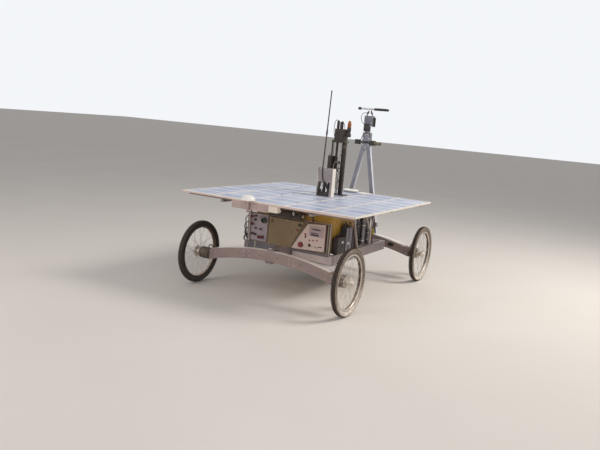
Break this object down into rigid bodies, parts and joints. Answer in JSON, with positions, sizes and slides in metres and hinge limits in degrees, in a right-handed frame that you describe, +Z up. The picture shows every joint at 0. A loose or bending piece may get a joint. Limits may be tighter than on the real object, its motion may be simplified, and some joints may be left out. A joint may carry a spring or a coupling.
{
  "type": "planetary rover",
  "caption": "Four-wheel field rover with wire wheels, arched pivoting axles, a flat solar array, a drill column, aerials and an A-frame camera mast.",
  "frame": {"origin": "on the floor, midway between the four wheels", "axes": "+X to the rover's right, +Y forward towards the camera mast, +Z up"},
  "size_m": [1.832, 2.537, 2.0052],
  "materials": {
    "tyre_rubber": "dusty, worn knobs",
    "wheel_metal": "dull, dusty",
    "beam_metal": "brushed, dusty",
    "drive_metal": "dark anodised",
    "pin_steel": "bright",
    "frame_metal": "brushed",
    "blank_plate": "pale, satin",
    "wall_metal": "matt grey",
    "olive_sheet": "matt olive",
    "cream_sheet": "satin cream",
    "control_mix": "displays and red buttons",
    "socket_dark": "black sockets",
    "post_white": "white",
    "mustard_shell": "satin mustard moulding",
    "battery_case": "grey cases",
    "deck_metal": "plain sheet",
    "instrument_dark": "matt dark cases",
    "bottle_silver": "satin",
    "tray_white": "white edge",
    "cell_blue": "laminated cells",
    "skirt_grey": "pinkish grey sheet",
    "cream_bracket": "cream",
    "drill_dark": "dark oiled metal",
    "motor_copper": "copper brown",
    "auger_steel": "worn",
    "bracket_white": "white sheet",
    "cable_black": "matt",
    "whip_dark": "dark rod",
    "dome_white": "white",
    "mast_metal": "blue-grey, satin",
    "camera_dark": "black",
    "head_grey": "blue-grey boxes"
  },
  "bodies": {
    "chassis": {"access_panel": "olive_sheet", "antenna_bracket": "bracket_white", "batteries": "battery_case", "bay_floor": "deck_metal", "body_shell": "mustard_shell", "cable_bundle": "cable_black", "connector_panel": "cream_sheet", "connectors": "socket_dark", "control_panel": "cream_sheet", "controls": "control_mix", "cross_rails": "frame_metal", "cross_ribs": "frame_metal", "disc_antenna": "dome_white", "dome_antenna": "dome_white", "drill_base": "drill_dark", "drill_head": "drill_dark", "drill_rails": "drill_dark", "gas_bottles": "bottle_silver", "instrument_boxes": "instrument_dark", "kingpins": "pin_steel", "long_ribs": "frame_metal", "name_plate": "blank_plate", "panel_posts": "post_white", "pivot_arms": "frame_metal", "rear_bracket": "cream_bracket", "rear_skirt": "skirt_grey", "service_wall": "wall_metal", "side_rails": "frame_metal", "solar_cells": "cell_blue", "solar_panel": "tray_white", "spindle_motor": "motor_copper", "whip_antenna": "whip_dark"},
    "front_axle": {"front_beam": "beam_metal", "front_drive_units": "drive_metal", "mast_legs": "mast_metal", "mast_junction": "mast_metal", "navigation_cameras": "camera_dark"},
    "rear_axle": {"rear_beam": "beam_metal", "rear_drive_units": "drive_metal"},
    "mast_pan": {"pan_unit": "head_grey"},
    "mast_tilt": {"camera_bar": "camera_dark"},
    "drill_slide": {"drill_carriage": "drill_dark", "auger": "auger_steel"},
    "front_right_wheel": {"front_right_tyre": "tyre_rubber", "front_right_wire_wheel": "wheel_metal"},
    "front_left_wheel": {"front_left_tyre": "tyre_rubber", "front_left_wire_wheel": "wheel_metal"},
    "rear_right_wheel": {"rear_right_tyre": "tyre_rubber", "rear_right_wire_wheel": "wheel_metal"},
    "rear_left_wheel": {"rear_left_tyre": "tyre_rubber", "rear_left_wire_wheel": "wheel_metal"}
  },
  "joints": [
    {"name": "front_steering", "type": "hinge", "parent": "chassis", "child": "front_axle", "pos_m": [0, 0.96, 0.4], "axis": [0, 0, 1], "range_deg": [-21, 21]},
    {"name": "front_right_wheel", "type": "hinge", "parent": "front_axle", "child": "front_right_wheel", "pos_m": [0.82, 0.96, 0.3085], "axis": [1, 0, 0], "continuous": true},
    {"name": "front_left_wheel", "type": "hinge", "parent": "front_axle", "child": "front_left_wheel", "pos_m": [-0.82, 0.96, 0.3085], "axis": [1, 0, 0], "continuous": true},
    {"name": "rear_steering", "type": "hinge", "parent": "chassis", "child": "rear_axle", "pos_m": [0, -0.96, 0.4], "axis": [0, 0, 1], "range_deg": [-21, 21]},
    {"name": "rear_right_wheel", "type": "hinge", "parent": "rear_axle", "child": "rear_right_wheel", "pos_m": [0.82, -0.96, 0.3085], "axis": [1, 0, 0], "continuous": true},
    {"name": "rear_left_wheel", "type": "hinge", "parent": "rear_axle", "child": "rear_left_wheel", "pos_m": [-0.82, -0.96, 0.3085], "axis": [1, 0, 0], "continuous": true},
    {"name": "mast_pan", "type": "hinge", "parent": "front_axle", "child": "mast_pan", "pos_m": [0, 1.021, 1.61], "axis": [0, 0, 1], "range_deg": [-170, 170]},
    {"name": "mast_tilt", "type": "hinge", "parent": "mast_pan", "child": "mast_tilt", "pos_m": [0, 1.041, 1.822], "axis": [1, 0, 0], "range_deg": [-60, 60]},
    {"name": "drill_feed", "type": "slide", "parent": "chassis", "child": "drill_slide", "axis": [0, 0, 1], "range_m": [-0.22, 0.12]}
  ]
}
